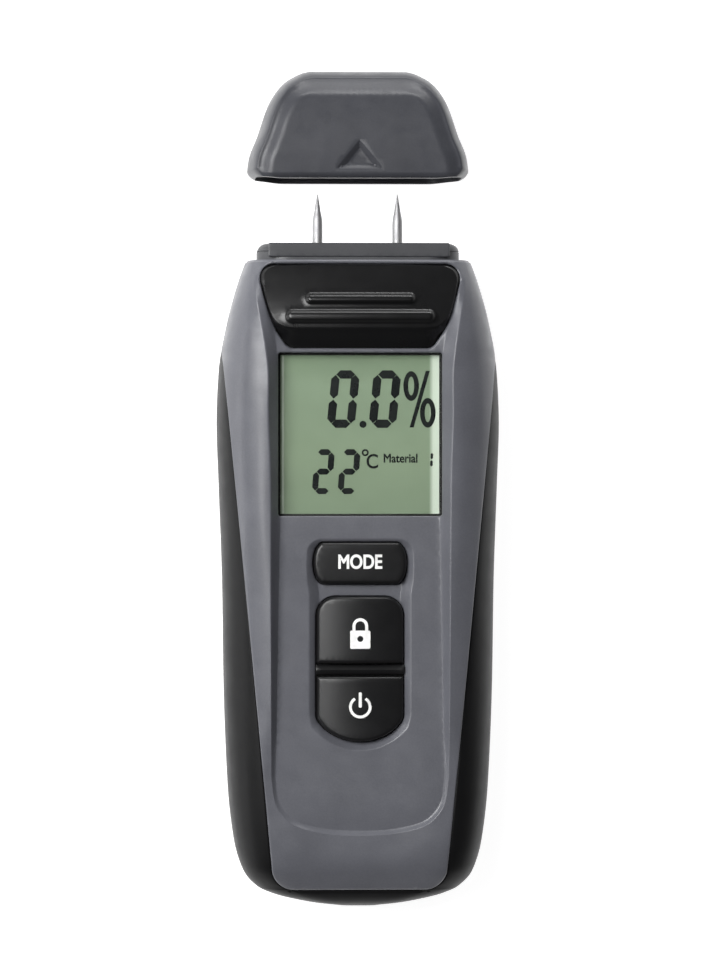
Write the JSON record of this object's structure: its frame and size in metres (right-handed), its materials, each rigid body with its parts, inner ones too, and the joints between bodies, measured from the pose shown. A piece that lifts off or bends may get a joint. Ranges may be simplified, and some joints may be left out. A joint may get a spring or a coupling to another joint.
{
  "type": "moisture meter",
  "caption": "Two-pin moisture meter: long pocket case with a sunk front panel, green display, rubber-feel keys, thumb rest and slide-off pin cap.",
  "frame": {"origin": "on the flat back, under the middle of the case's length and width", "axes": "+X across the case to the right as seen from the front, +Y along the case from its bottom end towards the electrodes, +Z out of the front face"},
  "size_m": [0.0564, 0.1664, 0.0301],
  "materials": {
    "shell_grey": "fine textured satin",
    "shell_black": "fine textured satin",
    "housing_grey": "fine textured satin",
    "key_black": "satin",
    "electrode_steel": "turned",
    "plated_steel": "zinc plated",
    "contact_brass": "plain",
    "window_clear": "polished",
    "lcd_green": "polished",
    "gasket_black": "matte",
    "frame_white": "satin",
    "zebra_rubber": "matte",
    "board_green": "solder mask",
    "chip_black": "matte",
    "component_tan": "satin",
    "sensor_amber": "polished",
    "mat_silicone": "matte",
    "battery_wrap": "satin",
    "snap_black": "satin",
    "lead_red": "satin",
    "lead_black": "satin",
    "foam_grey": "open foam"
  },
  "bodies": {
    "root": {"front_shell": "shell_grey", "back_shell": "shell_black", "brow_panel": "shell_black", "electrode_housing": "housing_grey", "electrode_left": "electrode_steel", "electrode_right": "electrode_steel", "electrode_sockets": "contact_brass", "electrode_contacts": "contact_brass", "display_window": "window_clear", "window_gasket": "gasket_black", "lcd_panel": "lcd_green", "lcd_frame": "frame_white", "zebra_strips": "zebra_rubber", "main_board": "board_green", "control_chip": "chip_black", "board_components": "component_tan", "temperature_sensor": "sensor_amber", "keypad_mat": "mat_silicone", "key_divider": "key_black", "battery": "battery_wrap", "battery_terminals": "plated_steel", "battery_snap": "snap_black", "battery_lead_red": "lead_red", "battery_lead_black": "lead_black", "board_screws": "plated_steel", "case_screws": "plated_steel"},
    "mode_key": {"mode_key": "key_black"},
    "hold_key": {"hold_key": "key_black"},
    "power_key": {"power_key": "key_black"},
    "battery_door": {"battery_door": "shell_black", "door_foam": "foam_grey"},
    "pin_cap": {"pin_cap": "shell_grey"}
  },
  "joints": [
    {"name": "cap_slide", "type": "slide", "parent": "root", "child": "pin_cap", "axis": [0, 1, 0], "range_m": [-0.016, 0.02]},
    {"name": "mode_key_press", "type": "slide", "parent": "root", "child": "mode_key", "axis": [0, 0, -1], "range_m": [0, 0.001], "stiffness_N_per_m": 1500, "deforming": ["keypad_mat"]},
    {"name": "hold_key_press", "type": "slide", "parent": "root", "child": "hold_key", "axis": [0, 0, -1], "range_m": [0, 0.001], "stiffness_N_per_m": 1500, "deforming": ["keypad_mat"]},
    {"name": "power_key_press", "type": "slide", "parent": "root", "child": "power_key", "axis": [0, 0, -1], "range_m": [0, 0.001], "stiffness_N_per_m": 1500, "deforming": ["keypad_mat"]},
    {"name": "battery_door_swing", "type": "hinge", "parent": "root", "child": "battery_door", "pos_m": [0, -0.0499, 0.00165], "axis": [-1, 0, 0], "range_deg": [0, 80]}
  ]
}
